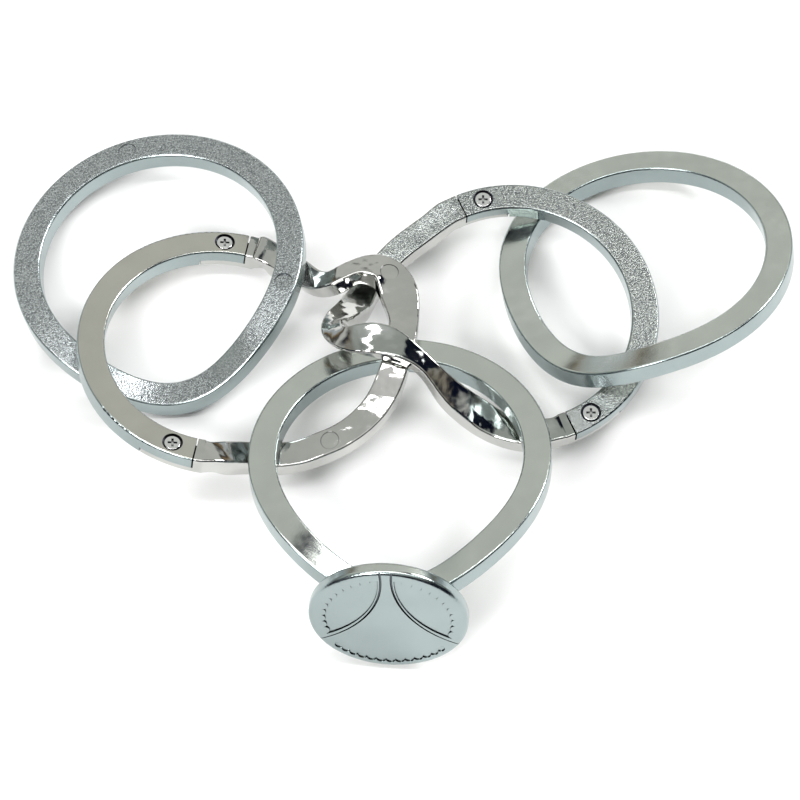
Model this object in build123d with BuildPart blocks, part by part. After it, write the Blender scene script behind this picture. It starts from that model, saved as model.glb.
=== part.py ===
"""Puzzle ring: five linked cast bands, opened out and lying on a table.  Millimetres, +Z up."""
from math import atan2, cos, degrees, exp, radians, sin
import os

from build123d import *

# ---- driving dimensions -------------------------------------------------------------------
BAND_W = 3.5          # radial width of every band
BAND_T = 2.7          # axial thickness of every band
EDGE_R = 0.3          # rounding of the long edges
PLAIN_R = 17.15       # middle radius of the two outer bands and the signet band
KNOT_R = 16.6         # middle radius of the two knot bands
DIP_SPREAD = 36       # degrees from the front at which a dip has fallen to about a third

GAP = 0.2             # open seam left at each end of a half-lap
LAP_DEG = 22          # length of a half-lap along the band
STUB_DEG = 4          # plain end of a knot arm before the twisting starts
LAP_T = 0.95          # thickness of the lower tongue
LEAD_DEG = 2          # further length of arm that still follows the band's circle
LEFT_SPACING = 3.0    # spacing of the sections that shape each knot arm
RIGHT_SPACING = 2.6
PIN_DEG = 10          # fastener position along the lap, from the seam
PIN_D = 1.4           # shank
HEAD_D = 2.1          # fastener head
SINK_D = 2.6          # counterbore
SINK_DEPTH = 0.45
HEAD_T = 0.35
SLOT_W = 0.3          # cross recess in the head
SLOT_L = 1.2

MEDAL_W = 19.7        # medallion, side to side
MEDAL_H = 18.6        # medallion, along the finger
MEDAL_T = 1.85
MEDAL_OUT = 0.25      # gap between the band and the back of the medallion, filled by a neck
NECK_W, NECK_H = 11.0, 2.6
FIELD_RIM = 1.5       # plain border outside the sunk fields
FIELD_SINK = 0.16     # depth of the two side fields and the lower border line
CREASE_W = 0.3        # groove between the middle panel and each side field
CREASE_SINK = 0.28
SCALLOP_R = 0.62      # scallops along the outer border of the fields

MARK_D = 2.4          # round ejector marks left on the castings
MARK_DEPTH = 0.1

# ---- how each band lies: centre, lean about X then about Y (degrees) ----------------------
CENTRING = Vector(-0.29, 0.45, 0.22)   # puts the middle of the footprint on the origin
LEFT_LIES = ((-30.9, 17.05, 5.9), -5.1, -7.4)
KNOT_LEFT_LIES = ((-22.75, 4.05, 5.85), -9.8, 6.8)
SIGNET_LIES = ((0.0, -12.85, 9.55), -14.7, -2.2)
KNOT_RIGHT_LIES = ((14.7, 9.15, 5.35), 2.7, 1.2)
RIGHT_LIES = ((31.5, 16.6, 7.25), -17.6, -8.3)

# depth of each dip and the direction (degrees in the band's plane) of its lowest point
LEFT_DIP, LEFT_FRONT = 6.3, 278
SIGNET_DIP, SIGNET_FRONT = 5.7, 266
RIGHT_DIP, RIGHT_FRONT = 4.7, 231

# seams of the two knot bands, degrees in the band's plane
KNOT_LEFT_SEAMS = (79.0, 258.5)
KNOT_RIGHT_SEAMS = (114.0, -65.5)

# knot arms: x, y, z of the middle line, roll of the section, its width and thickness
LEFT_ARM = [
    (-13.9, 16.9, 4.0, 10, 3.4, 2.7),
    (-11.4, 14.7, 5.1, 20, 3.3, 2.7),
    (-9.0, 13.4, 6.4, 0, 2.6, 2.4),
    (-6.7, 14.0, 7.6, -20, 2.6, 2.4),
    (-3.8, 14.8, 7.5, -20, 3.6, 2.4),
    (-1.3, 13.6, 7.6, -10, 4.4, 2.4),
    (0.0, 10.8, 7.6, 0, 4.8, 2.3),
    (0.5, 7.4, 7.8, 0, 4.0, 2.3),
    (0.1, 3.6, 8.6, 0, 3.6, 2.3),
    (-0.8, 0.1, 8.1, 0, 3.6, 2.4),
    (-2.4, -3.5, 6.6, 0, 3.6, 2.7),
    (-5.7, -7.0, 5.5, 0, 3.5, 2.7),
    (-9.8, -9.0, 4.6, 0, 3.5, 2.7),
    (-13.9, -10.2, 4.3, 0, 3.5, 2.7),
    (-17.4, -10.4, 4.5, 0, 3.5, 2.7),
    (-20.8, -11.2, 6.4, 0, 3.5, 2.7),
]
RIGHT_ARM = [
    (3.9, 21.7, 5.7, 0, 3.5, 2.7),
    (1.0, 19.6, 5.1, 0, 3.5, 2.7),
    (-1.5, 17.4, 4.4, 0, 3.4, 2.7),
    (-4.0, 14.4, 3.5, 0, 3.4, 2.6),
    (-5.6, 11.2, 4.4, 0, 4.0, 2.4),
    (-7.3, 8.0, 6.9, 15, 3.8, 2.2),
    (-8.2, 5.5, 8.9, 25, 3.2, 2.1),
    (-7.2, 3.7, 10.3, 25, 3.0, 2.1),
    (-5.0, 3.1, 11.1, 20, 3.8, 2.2),
    (-2.8, 2.8, 11.4, 10, 4.4, 2.2),
    (-0.4, 1.8, 11.4, 0, 3.6, 2.2),
    (2.0, 0.5, 10.9, 0, 2.4, 2.2),
    (3.8, -0.8, 9.8, 0, 2.4, 2.2),
    (6.3, -2.9, 7.7, 0, 3.4, 2.4),
    (9.9, -4.7, 4.9, 0, 4.0, 2.5),
    (14.0, -6.6, 4.1, 0, 3.7, 2.6),
]


def lying_plane(lies):
    """The plane of a band as it lies: its middle, leaned about X and then about Y."""
    centre, lean_x, lean_y = lies
    cx, sx = cos(radians(lean_x)), sin(radians(lean_x))
    cy, sy = cos(radians(lean_y)), sin(radians(lean_y))
    origin = Vector(*centre) + CENTRING
    return Plane(origin=origin, x_dir=(cy, 0, -sy), z_dir=(sy * cx, -sx, cy * cx))


def dip_height(angle, dip, front):
    """Height of the band's middle line at an angle: flat, with one smooth dip at the front."""
    away = (angle - front + 180) % 360 - 180
    return -dip * exp(-((away / DIP_SPREAD) ** 2))


def polar(radius, angle, height=0.0):
    return (radius * cos(radians(angle)), radius * sin(radians(angle)), height)


def waved_band(dip, front):
    """A plain closed band: rounded rectangle carried round a circle that dips at the front."""
    middle = [polar(PLAIN_R, a, dip_height(a, dip, front)) for a in range(0, 360, 12)]
    with BuildPart() as band:
        with BuildLine() as path:
            Spline(*middle, periodic=True)
        with BuildLine() as above:
            Spline(*[(x, y, z + 10) for x, y, z in middle], periodic=True)
        with BuildSketch(Plane(origin=path.line @ 0, x_dir=(1, 0, 0), z_dir=path.line % 0)):
            RectangleRounded(BAND_W, BAND_T, EDGE_R)
        sweep(path=path.line, binormal=above.wires()[0])
    return band


def sector(start, end, half_width):
    """Flat face on the knot band's circle between two angles."""
    inner, outer = KNOT_R - half_width, KNOT_R + half_width
    with BuildSketch() as face:
        with BuildLine():
            CenterArc((0, 0), outer, start, end - start)
            Line(polar(outer, end)[:2], polar(inner, end)[:2])
            CenterArc((0, 0), inner, end, start - end)
            Line(polar(inner, start)[:2], polar(outer, start)[:2])
        make_face()
    return face.sketch


def arc_bar(start, end):
    """A length of flat knot band between two angles, its four long edges rounded."""
    with BuildPart() as bar:
        with BuildSketch(Plane.XY.offset(-BAND_T / 2)):
            add(sector(start, end, BAND_W / 2))
        extrude(amount=BAND_T)
        fillet(bar.edges().filter_by(GeomType.CIRCLE), EDGE_R)
    return bar


def knot_arc(seams):
    """Open arc of a knot band with an upper tongue, counterbore and hole at each end."""
    low, high = min(seams), max(seams)
    with BuildPart() as arc:
        add(arc_bar(low, high).part)
        for seam, sign in ((low, 1), (high, -1)):
            lap = sorted((seam - sign * STUB_DEG, seam + sign * LAP_DEG))
            with BuildSketch(Plane.XY.offset(-BAND_T)):
                add(sector(*lap, BAND_W))
            extrude(amount=BAND_T / 2 + LAP_T, mode=Mode.SUBTRACT)
            spot = polar(KNOT_R, seam + sign * PIN_DEG)
            with Locations((spot[0], spot[1], BAND_T / 2)):
                Cylinder(SINK_D / 2, SINK_DEPTH, align=(Align.CENTER, Align.CENTER, Align.MAX),
                         mode=Mode.SUBTRACT)
                Cylinder(PIN_D / 2, BAND_T, align=(Align.CENTER, Align.CENTER, Align.MAX),
                         mode=Mode.SUBTRACT)
    return arc


def arm_end(seam, way):
    """Flat end of a knot arm: a full stub, and a lower tongue that runs on under the arc."""
    gap = degrees(GAP / KNOT_R)
    tip = seam - way * (LAP_DEG - gap)
    root = seam + way * gap
    with BuildPart() as end:
        add(arc_bar(*sorted((tip, seam + way * STUB_DEG))).part)
        with BuildSketch(Plane.XY.offset(LAP_T - BAND_T / 2)):
            add(sector(*sorted((tip - way * STUB_DEG, root)), BAND_W))
        extrude(amount=BAND_T, mode=Mode.SUBTRACT)
        with Locations(polar(KNOT_R, seam - way * PIN_DEG)):
            Cylinder(PIN_D / 2, BAND_T * 2, mode=Mode.SUBTRACT)
    return end


def level_frame(along):
    """Level direction across a travelling direction, and the direction square to both."""
    across = Vector(0, 0, 1).cross(along).normalized()
    return across, along.cross(across)


def circle_stop(lying, angle, way):
    """Middle, direction and roll of a knot arm where it still follows the band's circle."""
    spot = Vector(*polar(KNOT_R, angle))
    here = lying.from_local_coords(spot)
    along = lying.from_local_coords(spot + Vector(*polar(1, angle + way * 90))) - here
    across, rise = level_frame(along)
    roll = degrees(atan2(-lying.z_dir.dot(across), lying.z_dir.dot(rise)))
    return here, along, roll


def arm_planes(lies, seams, stations, spacing):
    """Evenly spaced section planes and sizes along a knot arm, stub to stub."""
    lying = lying_plane(lies)
    first, last = seams
    way = 1 if first == max(seams) else -1
    angles = [first + way * STUB_DEG, first + way * (STUB_DEG + LEAD_DEG)]
    angles += [last - way * (STUB_DEG + LEAD_DEG), last - way * STUB_DEG]
    leads = [circle_stop(lying, angle, way) for angle in angles]
    stops = [(*here, roll, BAND_W, BAND_T) for here, along, roll in leads]
    middle = [(*(Vector(*station[:3]) + CENTRING), *station[3:]) for station in stations]
    stops = stops[:2] + middle + stops[2:]
    points = [Vector(*stop[:3]) for stop in stops]
    settings = [stop[3:] for stop in stops]
    reach = [0.0]
    for before, after in zip(points, points[1:]):
        reach.append(reach[-1] + (after - before).length)
    path = Edge.make_spline(points)
    sections = []
    count = round(reach[-1] / spacing)
    for n in range(count + 1):
        at = n / count
        here = at * reach[-1]
        i = max(k for k in range(len(reach) - 1) if reach[k] <= here + 1e-9)
        part_way = min(1.0, (here - reach[i]) / (reach[i + 1] - reach[i]))
        ease = part_way * part_way * (3 - 2 * part_way)
        roll, width, thick = (p + (q - p) * ease for p, q in zip(settings[i], settings[i + 1]))
        along = path.tangent_at(at)
        if n in (0, count):
            along = leads[0 if n == 0 else -1][1]
        across, rise = level_frame(along)
        turned = across * cos(radians(roll)) + rise * sin(radians(roll))
        plane = Plane(origin=path.position_at(at), x_dir=turned, z_dir=along)
        sections.append((plane, (width, thick)))
    return sections


def knot_arm(lies, seams, stations, spacing):
    """Twisted arm of a knot band: lofted middle, with a flat end at each seam."""
    home = lying_plane(lies).location
    first, last = seams
    way = 1 if first == max(seams) else -1
    with BuildPart() as arm:
        for plane, size in arm_planes(lies, seams, stations, spacing):
            with BuildSketch(plane):
                RectangleRounded(*size, EDGE_R)
        loft()
        add(home * arm_end(first, way).part)
        add(home * arm_end(last, -way).part)
    return arm


def fastener():
    """Small countersunk fastener: shank, flat head with a rounded rim and a cross recess."""
    with BuildPart() as pin:
        with Locations((0, 0, BAND_T / 2 - SINK_DEPTH)):
            Cylinder(HEAD_D / 2, HEAD_T, align=(Align.CENTER, Align.CENTER, Align.MIN))
        fillet(pin.edges().sort_by(Axis.Z)[-1], 0.12)
        with Locations((0, 0, BAND_T / 2 - SINK_DEPTH)):
            Cylinder(PIN_D / 2, BAND_T - SINK_DEPTH - 0.1,
                     align=(Align.CENTER, Align.CENTER, Align.MAX))
        with Locations((0, 0, BAND_T / 2 - SINK_DEPTH + HEAD_T)):
            for turn in (0, 90):
                Box(SLOT_L, SLOT_W, 0.4, rotation=(0, 0, turn), mode=Mode.SUBTRACT)
    return pin


def crease(side, half_width):
    """Curved strip from the top of the medallion down to one side of it."""
    half_w, half_h = MEDAL_W / 2, MEDAL_H / 2
    top, waist, foot = (0.75, half_h), (2.3, 1.4), (half_w - 0.9, -4.3)
    with BuildSketch() as strip:
        with BuildLine():
            near = ThreePointArc(*[(side * (x - half_width), y) for x, y in (top, waist, foot)])
            far = ThreePointArc(*[(side * (x + half_width), y) for x, y in (top, waist, foot)])
            Line(near @ 0, far @ 0)
            Line(near @ 1, far @ 1)
        make_face()
    return strip.sketch


def side_field(side):
    """Sunk field beside the middle panel, its outer border scalloped."""
    half_w, half_h = MEDAL_W / 2, MEDAL_H / 2
    field_w, field_h = half_w - FIELD_RIM, half_h - FIELD_RIM
    with BuildSketch() as field:
        Ellipse(field_w, field_h)
        with BuildLine():
            edge = ThreePointArc((side * 1.1, half_h), (side * 2.65, 1.4), (side * half_w, -3.9))
            Polyline(edge @ 1, (side * half_w, half_h), edge @ 0)
        make_face(mode=Mode.INTERSECT)
        for angle in range(-18, 80, 9):
            spot = (side * field_w * cos(radians(angle)), field_h * sin(radians(angle)))
            with Locations(spot):
                Circle(SCALLOP_R, mode=Mode.SUBTRACT)
    return field.sketch


def lower_border():
    """Broken scalloped line that closes the middle panel along the foot of the medallion."""
    field_w, field_h = MEDAL_W / 2 - FIELD_RIM, MEDAL_H / 2 - FIELD_RIM
    with BuildSketch() as border:
        for angle in range(222, 320, 8):
            spot = (field_w * cos(radians(angle)), field_h * sin(radians(angle)))
            with Locations(spot):
                Circle(SCALLOP_R)
        Ellipse(field_w - 0.25, field_h - 0.25, mode=Mode.SUBTRACT)
    return border.sketch


def medallion():
    """Signet medallion facing +Z about its own middle, its back on Z = 0, neck below."""
    face = Plane.XY.offset(MEDAL_T)
    with BuildPart() as medal:
        with BuildSketch():
            Ellipse(MEDAL_W / 2, MEDAL_H / 2)
        extrude(amount=MEDAL_T)
        fillet(medal.edges().group_by(Axis.Z)[-1], 0.6)
        fillet(medal.edges().group_by(Axis.Z)[0], 0.4)
        for side in (1, -1):
            with BuildSketch(face):
                add(side_field(side))
            extrude(amount=-FIELD_SINK, mode=Mode.SUBTRACT)
            with BuildSketch(face):
                add(crease(side, CREASE_W / 2))
            extrude(amount=-CREASE_SINK, mode=Mode.SUBTRACT)
        with BuildSketch(face):
            add(lower_border())
        extrude(amount=-FIELD_SINK, mode=Mode.SUBTRACT)
        with BuildSketch():
            RectangleRounded(NECK_W, NECK_H, EDGE_R)
        extrude(amount=-MEDAL_OUT - BAND_W / 2)
    return medal


def mark(part, place):
    """Sink one shallow round ejector mark whose open end faces along the place's +Z."""
    with BuildPart() as marked:
        add(part)
        with Locations(place):
            Cylinder(MARK_D / 2, 2 * MARK_DEPTH + 0.6,
                     align=(Align.CENTER, Align.CENTER, Align.MIN), mode=Mode.SUBTRACT)
    return marked.part


def face_mark(plane, size):
    """Place of a mark on the upper face of a section of a knot arm."""
    upward = plane.y_dir
    origin = plane.origin + upward * (size[1] / 2 - MARK_DEPTH)
    return Location(Plane(origin=origin, x_dir=plane.z_dir, z_dir=upward))


os.makedirs("parts", exist_ok=True)

# ---- outer band, left ---------------------------------------------------------------------
left_band = waved_band(LEFT_DIP, LEFT_FRONT)
left_solid = left_band.part
for at in (106, 343):
    level = dip_height(at, LEFT_DIP, LEFT_FRONT) + BAND_T / 2 - MARK_DEPTH
    left_solid = mark(left_solid, Location(polar(PLAIN_R, at, level)))
outer_band_left = lying_plane(LEFT_LIES).location * left_solid
outer_band_left.label = "outer_band_left"
export_step(outer_band_left, "parts/outer_band_left.step")

# ---- outer band, right --------------------------------------------------------------------
right_band = waved_band(RIGHT_DIP, RIGHT_FRONT)
outer_band_right = lying_plane(RIGHT_LIES).location * right_band.part
outer_band_right.label = "outer_band_right"
export_step(outer_band_right, "parts/outer_band_right.step")

# ---- signet band with its medallion -------------------------------------------------------
hoop = waved_band(SIGNET_DIP, SIGNET_FRONT)
medal_at = Plane(
    origin=polar(PLAIN_R + BAND_W / 2 + MEDAL_OUT, SIGNET_FRONT, -SIGNET_DIP),
    x_dir=polar(1, SIGNET_FRONT + 90),
    z_dir=polar(1, SIGNET_FRONT),
)
disc = medallion()
with BuildPart() as signet:
    add(hoop.part)
    add(medal_at.location * disc.part)
signet_band = lying_plane(SIGNET_LIES).location * signet.part
signet_band.label = "signet_band"
export_step(signet_band, "parts/signet_band.step")

# ---- the two knot bands: arc, arm and two fasteners each ----------------------------------
knots = (
    ("knot_left", KNOT_LEFT_LIES, KNOT_LEFT_SEAMS, LEFT_ARM, LEFT_SPACING, (5, 12)),
    ("knot_right", KNOT_RIGHT_LIES, KNOT_RIGHT_SEAMS, RIGHT_ARM, RIGHT_SPACING, (2,)),
)
for name, lies, seams, stations, spacing, marked in knots:
    home = lying_plane(lies).location

    arc = home * knot_arc(seams).part
    arc.label = name + "_arc"
    export_step(arc, "parts/" + name + "_arc.step")

    arm = knot_arm(lies, seams, stations, spacing).part
    sections = arm_planes(lies, seams, stations, spacing)
    for index in marked:
        spot = Vector(*stations[index][:3]) + CENTRING
        nearest = min(sections, key=lambda section: (section[0].origin - spot).length)
        arm = mark(arm, face_mark(*nearest))
    arm.label = name + "_arm"
    export_step(arm, "parts/" + name + "_arm.step")

    for seam, word in zip(seams, ("upper", "lower")):
        sign = 1 if seam == min(seams) else -1
        spot = polar(KNOT_R, seam + sign * PIN_DEG)
        pin = home * (Location(spot) * fastener().part)
        pin.label = name + "_pin_" + word
        export_step(pin, "parts/" + name + "_pin_" + word + ".step")
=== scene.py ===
"""Puzzle ring: looks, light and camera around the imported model.  Metres, +Z up."""
import math

import bpy
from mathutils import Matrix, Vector

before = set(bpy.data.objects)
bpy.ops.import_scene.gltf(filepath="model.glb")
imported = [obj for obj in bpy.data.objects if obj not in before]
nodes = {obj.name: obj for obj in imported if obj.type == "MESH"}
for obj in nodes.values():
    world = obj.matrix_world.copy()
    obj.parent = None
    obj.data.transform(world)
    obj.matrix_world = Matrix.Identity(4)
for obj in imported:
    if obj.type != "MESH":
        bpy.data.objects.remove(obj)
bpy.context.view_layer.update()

CENTRING = Vector((-0.29, 0.45, 0.22))   # mm, the shift that centres the part on the origin
CAMERA_TILT = 64                         # degrees above the table
CAMERA_FAR = 0.52                        # metres from the part
CAMERA_LENS = 182.8                      # mm
SENSOR = 36                              # mm

# tones of the plate, painted shade for grooves, pebble pits and walls, and roughness ranges
# painted shade for grooves, seams and screw recesses
CREVICE_SHADE = (0.03, 0.03, 0.04, 1)
# painted shade for the pits of the pebbled skin
PIT_SHADE = (0.20, 0.22, 0.23, 1)
BLUISH = (0.50, 0.53, 0.54)
GREENISH = (0.60, 0.63, 0.59)
WARM = (0.58, 0.57, 0.52)
STEEL = (0.40, 0.42, 0.40)
# painted shade for the walls: the same plate as the faces, darker
WALL_SHADE = (0.35, 0.41, 0.41)
POLISHED = (0.56, 0.56, 0.54)
BRIGHT = (0.78, 0.78, 0.78)
SATIN = (0.15, 0.26)
POLISH = (0.04, 0.10)
HEAD_GLOSS = (0.08, 0.18)

# textures: features per metre, and depths in metres
CLOUD_SCALE = 170
CLOUD_SHADE = 0.93
WAVE_SCALE = 260
GLOSS_SCALE = 700
SPECKLE_SCALE = 2600
GRAIN_SCALE = 4200
PEBBLE_SCALE = 4600
# brightening of the pebble lumps past the plate colour: a painted glint
PEBBLE_GLINT = 1.12
FINE_GRAIN = 0.00001
BAND_WAVE = 0.00003
CREVICE_REACH = 0.0005
CREVICE_SAMPLES = 8

NAVY = (0.005, 0.008, 0.022)


# ---- camera ---------------------------------------------------------------------------------
def aim(obj, place, target):
    obj.location = place
    obj.rotation_euler = (target - place).to_track_quat("-Z", "Y").to_euler()


camera = bpy.data.objects.new("camera", bpy.data.cameras.new("camera"))
bpy.context.scene.collection.objects.link(camera)
camera.data.lens = CAMERA_LENS
camera.data.sensor_width = SENSOR
target = CENTRING / 1000
tilt = math.radians(CAMERA_TILT)
aim(camera, target + CAMERA_FAR * Vector((0, -math.cos(tilt), math.sin(tilt))), target)
bpy.context.scene.camera = camera


# ---- material helpers -----------------------------------------------------------------------
def new_material(name):
    material = bpy.data.materials.new(name)
    material.use_nodes = True
    tree = material.node_tree
    tree.nodes.clear()
    out = tree.nodes.new("ShaderNodeOutputMaterial")
    shader = tree.nodes.new("ShaderNodeBsdfPrincipled")
    tree.links.new(shader.outputs[0], out.inputs["Surface"])
    return material, tree, shader


def noise(tree, scale, detail=4.0, rough=0.55):
    """Noise on object coordinates, in metres; scale is features per metre."""
    coords = tree.nodes.new("ShaderNodeTexCoord")
    texture = tree.nodes.new("ShaderNodeTexNoise")
    texture.inputs["Scale"].default_value = scale
    texture.inputs["Detail"].default_value = detail
    texture.inputs["Roughness"].default_value = rough
    tree.links.new(coords.outputs["Object"], texture.inputs["Vector"])
    return texture.outputs["Fac"]


def ramp(tree, value, stops):
    """Colour ramp over a value: stops of (position, grey or colour)."""
    node = tree.nodes.new("ShaderNodeValToRGB")
    tree.links.new(value, node.inputs["Fac"])
    band = node.color_ramp
    while len(band.elements) < len(stops):
        band.elements.new(0.5)
    for element, (place, colour) in zip(band.elements, stops):
        element.position = place
        grey = colour if isinstance(colour, tuple) else (colour,) * 3
        element.color = (*grey, 1)
    return node.outputs["Color"]


def bump(tree, height, strength, distance, under=None):
    node = tree.nodes.new("ShaderNodeBump")
    node.inputs["Strength"].default_value = strength
    node.inputs["Distance"].default_value = distance
    tree.links.new(height, node.inputs["Height"])
    if under is not None:
        tree.links.new(under, node.inputs["Normal"])
    return node.outputs["Normal"]


def mix(tree, factor, first, second):
    node = tree.nodes.new("ShaderNodeMix")
    node.data_type = "RGBA"
    for value, socket in ((factor, node.inputs["Factor"]), (first, node.inputs["A"]),
                          (second, node.inputs["B"])):
        if isinstance(value, bpy.types.NodeSocket):
            tree.links.new(value, socket)
        else:
            socket.default_value = value
    return node.outputs["Result"]


def face_mask(tree, axis):
    """1 on the flat faces of a band whose axis is given, 0 on its walls."""
    coords = tree.nodes.new("ShaderNodeTexCoord")
    along = tree.nodes.new("ShaderNodeVectorMath")
    along.operation = "DOT_PRODUCT"
    along.inputs[1].default_value = axis
    tree.links.new(coords.outputs["Normal"], along.inputs[0])
    either = tree.nodes.new("ShaderNodeMath")
    either.operation = "ABSOLUTE"
    tree.links.new(along.outputs["Value"], either.inputs[0])
    return ramp(tree, either.outputs[0], ((0.86, 0.0), (0.93, 1.0)))


def behind(tree, start, end):
    """0 nearer the front than start, 1 farther back than end, in metres along Y."""
    coords = tree.nodes.new("ShaderNodeTexCoord")
    split = tree.nodes.new("ShaderNodeSeparateXYZ")
    tree.links.new(coords.outputs["Object"], split.inputs[0])
    spread = tree.nodes.new("ShaderNodeMapRange")
    spread.inputs["From Min"].default_value = start
    spread.inputs["From Max"].default_value = end
    tree.links.new(split.outputs["Y"], spread.inputs["Value"])
    return spread.outputs["Result"]


def crevice(tree):
    """Ambient-occlusion mask for painted shade: 0 deep in a groove, 1 in the open."""
    node = tree.nodes.new("ShaderNodeAmbientOcclusion")
    node.samples = CREVICE_SAMPLES
    node.inputs["Distance"].default_value = CREVICE_REACH
    return ramp(tree, node.outputs["AO"], ((0.45, 0.0), (0.88, 1.0)))


def product(tree, first, second):
    node = tree.nodes.new("ShaderNodeMath")
    node.operation = "MULTIPLY"
    tree.links.new(first, node.inputs[0])
    tree.links.new(second, node.inputs[1])
    return node.outputs[0]


def plating(name, face, shaded_wall, rough, wave, axis=None, pebbles=0.0, back=None):
    """Nickel plate over a casting.  The walls take a darker colour than the faces, which is
    painted shade on the same plate; the faces may carry a pebbled casting skin, everywhere or
    only behind a line, with painted shade in its pits and a painted glint on its lumps.  Every
    groove is darkened with painted shade."""
    material, tree, shader = new_material(name)
    shader.inputs["Metallic"].default_value = 1.0
    mask = face_mask(tree, axis) if axis else 1.0
    cloud = ramp(tree, noise(tree, CLOUD_SCALE), ((0.38, 0.0), (0.66, 1.0)))
    # painted shade: the walls get a darker copy of the plate colour than the faces, so faces read lit
    # and walls shaded
    pair = [mix(tree, cloud, (*[CLOUD_SHADE * v for v in tone], 1), (*tone, 1)) for tone in (shaded_wall, face)]
    tone_and_shade = mix(tree, mask, *pair)
    low, high = rough
    gloss = ramp(tree, noise(tree, GLOSS_SCALE, 5), ((0.3, low), (0.75, high)))
    waves = bump(tree, noise(tree, WAVE_SCALE, 2), 1.0, wave)
    surface = bump(tree, noise(tree, GRAIN_SCALE, 3, 0.6), 0.5, FINE_GRAIN, waves)
    if pebbles:
        where = product(tree, mask, behind(tree, *back)) if back else mask
        lumps = ramp(tree, noise(tree, PEBBLE_SCALE, 3, 0.6), ((0.36, 0.0), (0.62, 1.0)))
        # painted shade and painted glint: the pits are darkened and the lumps brightened past the face
        # colour, following the bump heights
        pebble_shading = mix(tree, lumps, PIT_SHADE, (*[PEBBLE_GLINT * v for v in face], 1))
        tone_and_shade = mix(tree, where, tone_and_shade, pebble_shading)
        surface = bump(tree, product(tree, lumps, where), 1.0, pebbles, surface)
        speckle = ramp(tree, noise(tree, SPECKLE_SCALE, 3), ((0.3, 0.10), (0.7, 0.28)))
        gloss = mix(tree, where, gloss, speckle)
    # painted shade: grooves, seams and screw recesses are darkened where ambient occlusion finds them
    # enclosed
    tone_and_shade = mix(tree, crevice(tree), CREVICE_SHADE, tone_and_shade)
    tree.links.new(tone_and_shade, shader.inputs["Base Color"])
    tree.links.new(gloss, shader.inputs["Roughness"])
    tree.links.new(surface, shader.inputs["Normal"])
    return material


def band_axis(lean_x, lean_y):
    """Axis of a band that is leaned about X and then about Y, in degrees."""
    x, y = math.radians(lean_x), math.radians(lean_y)
    return (math.sin(y) * math.cos(x), -math.sin(x), math.cos(y) * math.cos(x))


leans = {
    "outer_band_left": band_axis(-5.1, -7.4),
    "knot_left": band_axis(-9.8, 6.8),
    "signet_band": band_axis(-14.7, -2.2),
    "knot_right": band_axis(2.7, 1.2),
    "outer_band_right": band_axis(-17.6, -8.3),
}
looks = {
    "outer_band_left": plating("left_band_metal", BLUISH, WALL_SHADE, SATIN, BAND_WAVE,
                               leans["outer_band_left"], pebbles=0.00002),
    "knot_left_arc": plating("knot_left_arc_metal", WARM, WALL_SHADE, SATIN, BAND_WAVE, leans["knot_left"]),
    "knot_left_arm": plating("knot_left_arm_metal", POLISHED, POLISHED, POLISH, 0.00030),
    "signet_band": plating("signet_metal", GREENISH, WALL_SHADE, SATIN, BAND_WAVE, leans["signet_band"]),
    "knot_right_arc": plating("knot_right_arc_metal", STEEL, WALL_SHADE, SATIN, BAND_WAVE,
                              leans["knot_right"], pebbles=0.000016),
    "knot_right_arm": plating("knot_right_arm_metal", STEEL, POLISHED, POLISH, 0.00028,
                              leans["knot_right"], pebbles=0.000016, back=(0.013, 0.017)),
    "outer_band_right": plating("right_band_metal", GREENISH, WALL_SHADE, SATIN, BAND_WAVE,
                                leans["outer_band_right"]),
}
screw = plating("fastener_metal", BRIGHT, BRIGHT, HEAD_GLOSS, BAND_WAVE)
for name, node in nodes.items():
    chosen = looks.get(name, screw)
    if not node.data.materials:
        node.data.materials.append(chosen)
    for index in range(len(node.data.materials)):
        node.data.materials[index] = chosen


# ---- floor and light ------------------------------------------------------------------------
def plane_mesh(name, half, height):
    mesh = bpy.data.meshes.new(name)
    corners = [(x, y, height) for x, y in ((-half, -half), (half, -half), (half, half), (-half, half))]
    mesh.from_pydata(corners, [], [(0, 1, 2, 3)])
    obj = bpy.data.objects.new(name, mesh)
    bpy.context.scene.collection.objects.link(obj)
    return obj


floor = plane_mesh("floor", 2.0, -0.0002)
paper, paper_tree, paper_shader = new_material("floor_paper")
paper_shader.inputs["Base Color"].default_value = (0.93, 0.93, 0.93, 1)
paper_shader.inputs["Roughness"].default_value = 0.9
floor.data.materials.append(paper)


def area_light(name, place, size, power):
    data = bpy.data.lights.new(name, "AREA")
    data.shape = "RECTANGLE"
    data.size, data.size_y = size
    data.energy = power
    obj = bpy.data.objects.new(name, data)
    bpy.context.scene.collection.objects.link(obj)
    aim(obj, Vector(place), Vector((0, 0, 0)))


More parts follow.
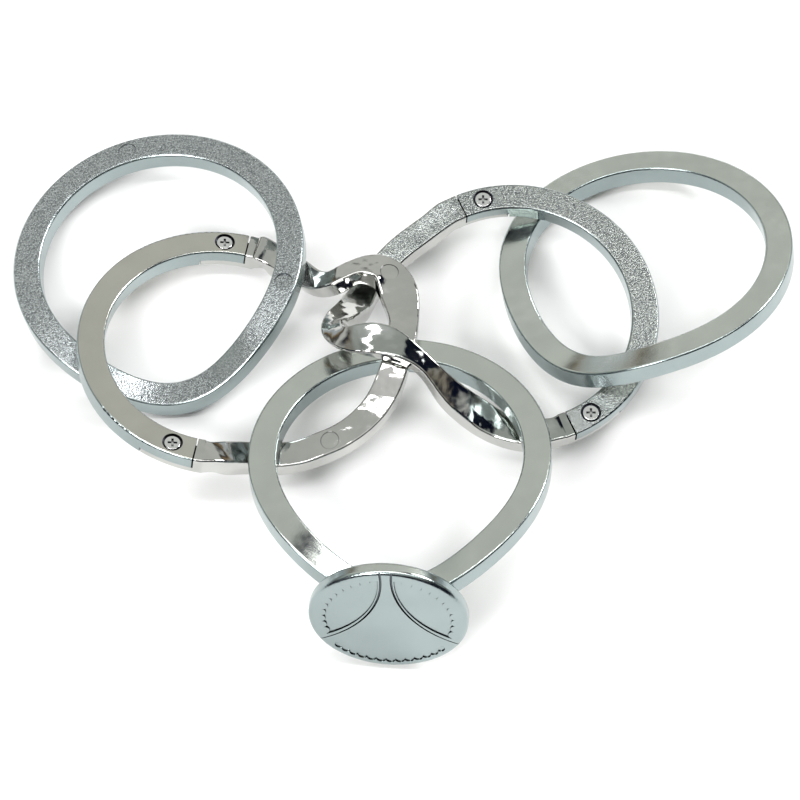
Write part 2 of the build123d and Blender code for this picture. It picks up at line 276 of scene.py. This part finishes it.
area_light("key_light", (-0.45, -0.55, 0.75), (0.5, 0.3), 7)
area_light("rim_light", (0.55, 0.35, 0.55), (0.35, 0.2), 4)
area_light("zenith_strip", (0.0, 0.02, 0.9), (1.2, 0.10), 3)


# ---- surroundings: pale room with a dark band low down, which draws the metal's edges --------
def surroundings():
    world = bpy.data.worlds.new("studio")
    bpy.context.scene.world = world
    world.use_nodes = True
    tree = world.node_tree
    backdrop = tree.nodes["Background"]
    coords = tree.nodes.new("ShaderNodeTexCoord")
    split = tree.nodes.new("ShaderNodeSeparateXYZ")
    tree.links.new(coords.outputs["Generated"], split.inputs[0])
    # z is the sine of the height above the horizon, y runs from the camera's side to the far side
    near = ramp(tree, split.outputs["Z"], ((0.0, (0.70, 0.75, 0.80)), (0.03, NAVY), (0.60, NAVY),
                                          (0.68, (0.30, 0.27, 0.22)), (0.80, (0.50, 0.52, 0.50)),
                                          (1.0, (1.0, 1.0, 1.0))))
    far = ramp(tree, split.outputs["Z"], ((0.0, (0.60, 0.66, 0.70)), (0.12, (0.55, 0.60, 0.62)),
                                         (0.20, (0.30, 0.22, 0.12)), (0.27, (0.02, 0.02, 0.03)),
                                         (0.36, (0.74, 0.76, 0.72)), (0.80, (0.62, 0.64, 0.61)),
                                         (0.95, (0.66, 0.68, 0.65)), (1.0, (1.0, 1.0, 1.0))))
    depth = tree.nodes.new("ShaderNodeMapRange")
    depth.inputs["From Min"].default_value = -0.12
    depth.inputs["From Max"].default_value = 0.06
    tree.links.new(split.outputs["Y"], depth.inputs["Value"])
    around = mix(tree, depth.outputs["Result"], near, far)
    # a dark board up on the right, clear of what the flat faces mirror
    apart = tree.nodes.new("ShaderNodeVectorMath")
    apart.operation = "DISTANCE"
    tree.links.new(coords.outputs["Generated"], apart.inputs[0])
    apart.inputs[1].default_value = (0.64, 0.30, 0.71)
    board = ramp(tree, apart.outputs["Value"], ((0.38, 1.0), (0.46, 0.0)))
    around = mix(tree, board, around, (*NAVY, 1))
    tree.links.new(around, backdrop.inputs["Color"])
    backdrop.inputs["Strength"].default_value = 1.0


surroundings()
bpy.context.scene.view_settings.view_transform = "Standard"
